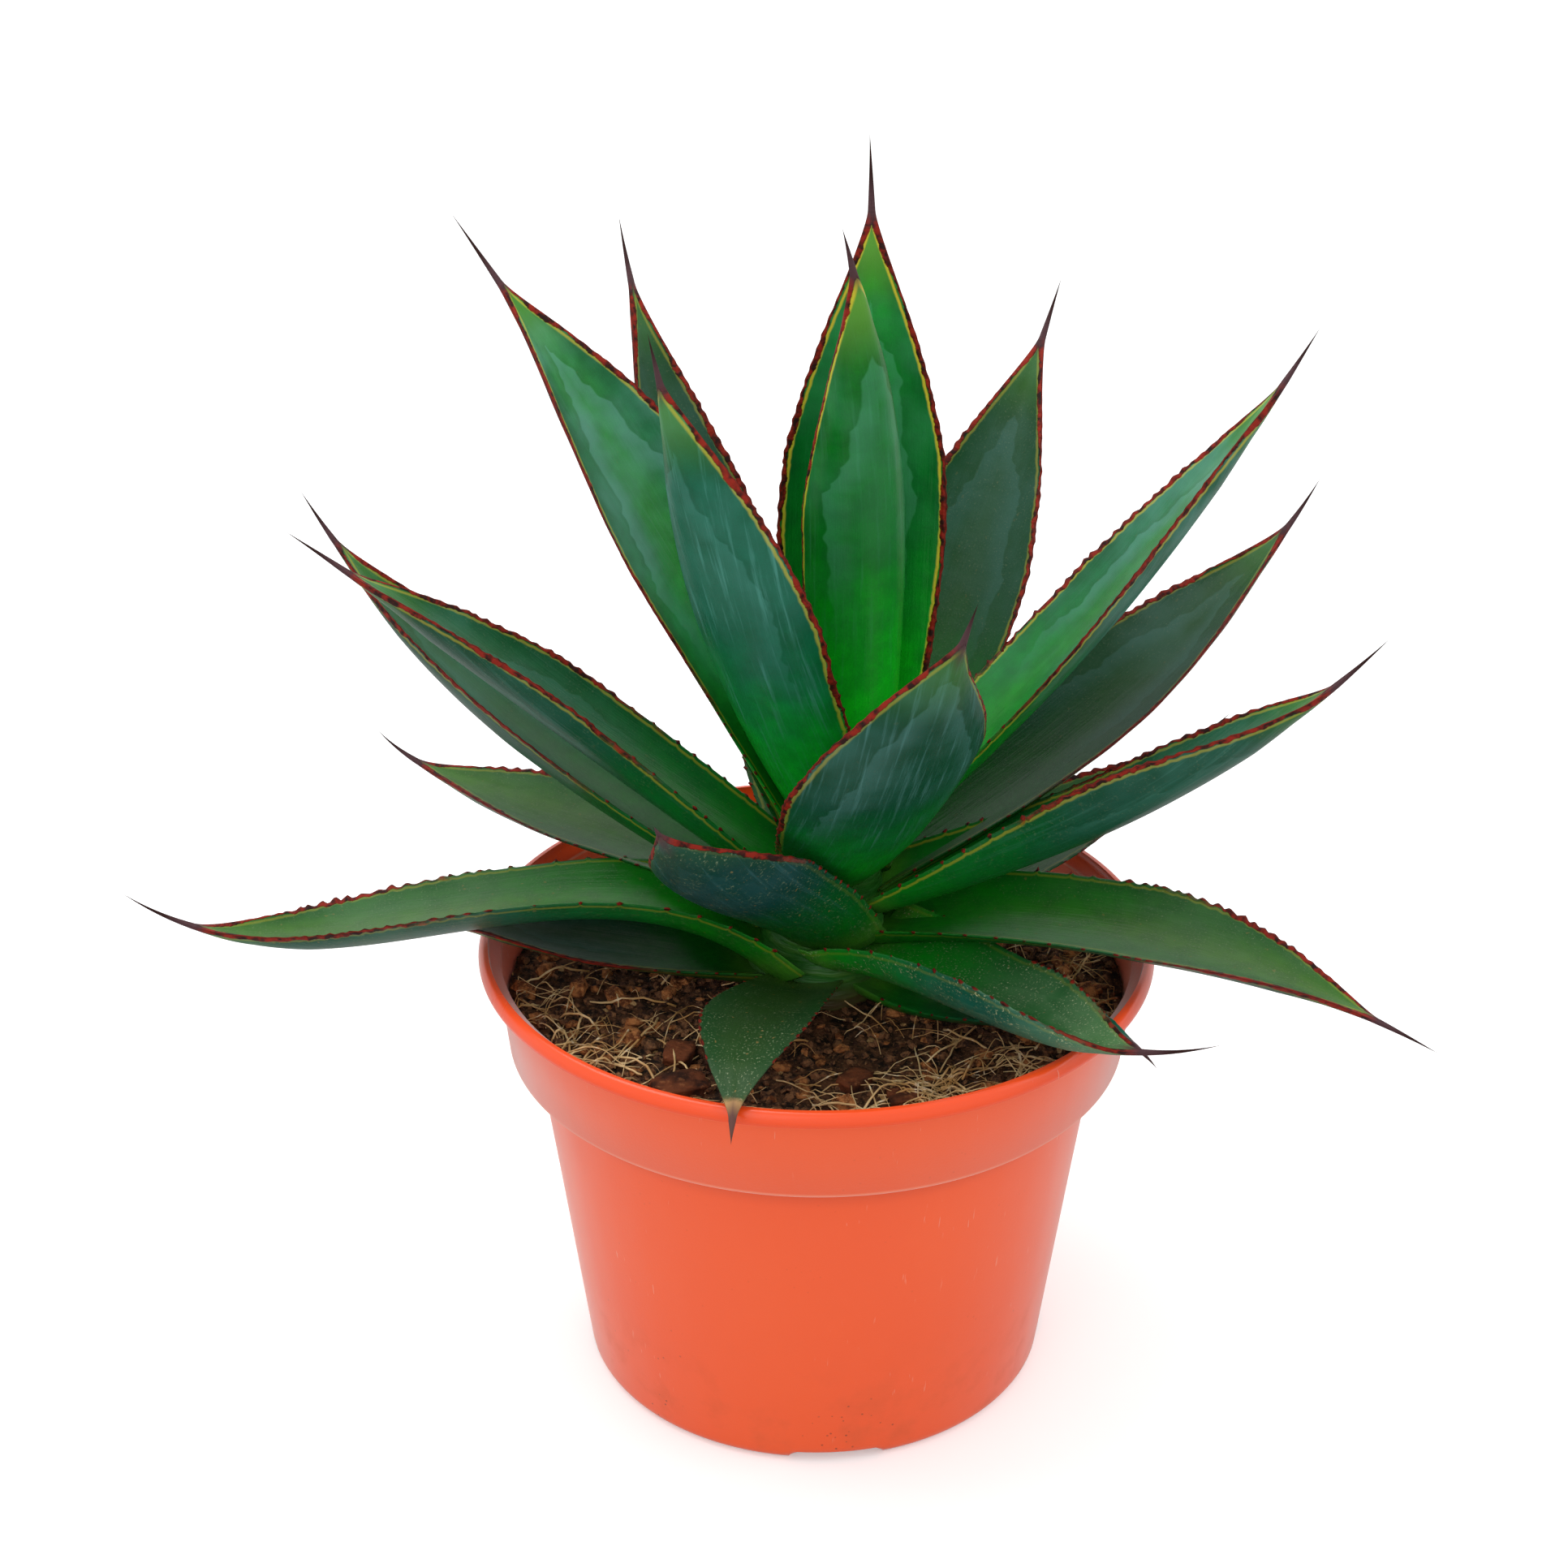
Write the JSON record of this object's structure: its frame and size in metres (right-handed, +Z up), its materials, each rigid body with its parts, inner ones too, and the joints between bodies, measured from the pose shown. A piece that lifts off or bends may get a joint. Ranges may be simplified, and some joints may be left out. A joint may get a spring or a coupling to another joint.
{
  "type": "potted agave",
  "caption": "Rosette of stiff, cupped, spine-tipped leaves on a short leaning stem, rooted in soil with bark chips in a round tapered plastic nursery pot.",
  "frame": {"origin": "middle of the pot's base, on the flat face that the pot stands on", "axes": "+Z up along the pot's axis, -Y towards the front, +X to the right seen from the front"},
  "size_m": [0.317, 0.227, 0.313],
  "materials": {
    "pot": "moulded, satin",
    "soil": "loose, matte",
    "bark": "rough, matte",
    "splinter": "raw, matte",
    "stem": "waxy, satin",
    "leaf": "waxy, satin"
  },
  "bodies": {
    "root": {"pot": "pot", "soil": "soil", "stem": "stem", "leaf_spear": "leaf", "leaf_back_tall": "leaf", "leaf_left_inner": "leaf", "leaf_right_tall": "leaf", "leaf_left_tall": "leaf", "leaf_front_right": "leaf", "leaf_back_left": "leaf", "leaf_back_right": "leaf", "leaf_left_upper": "leaf", "leaf_right_lower": "leaf", "leaf_right_middle": "leaf", "leaf_back_middle": "leaf", "leaf_left_middle": "leaf", "leaf_front_short": "leaf", "leaf_back_right_lower": "leaf", "leaf_left_back_low": "leaf", "leaf_right_low": "leaf", "leaf_back_low": "leaf", "leaf_front_right_low": "leaf", "leaf_left_low": "leaf", "leaf_back_left_low": "leaf", "leaf_back_right_under": "leaf", "leaf_front_small": "leaf", "leaf_left_under": "leaf", "leaf_front_right_under": "leaf", "bark_chip_1": "bark", "bark_chip_2": "bark", "bark_chip_3": "bark", "bark_chip_4": "bark", "bark_chip_5": "bark", "wood_splinter": "splinter"}
  },
  "joints": []
}
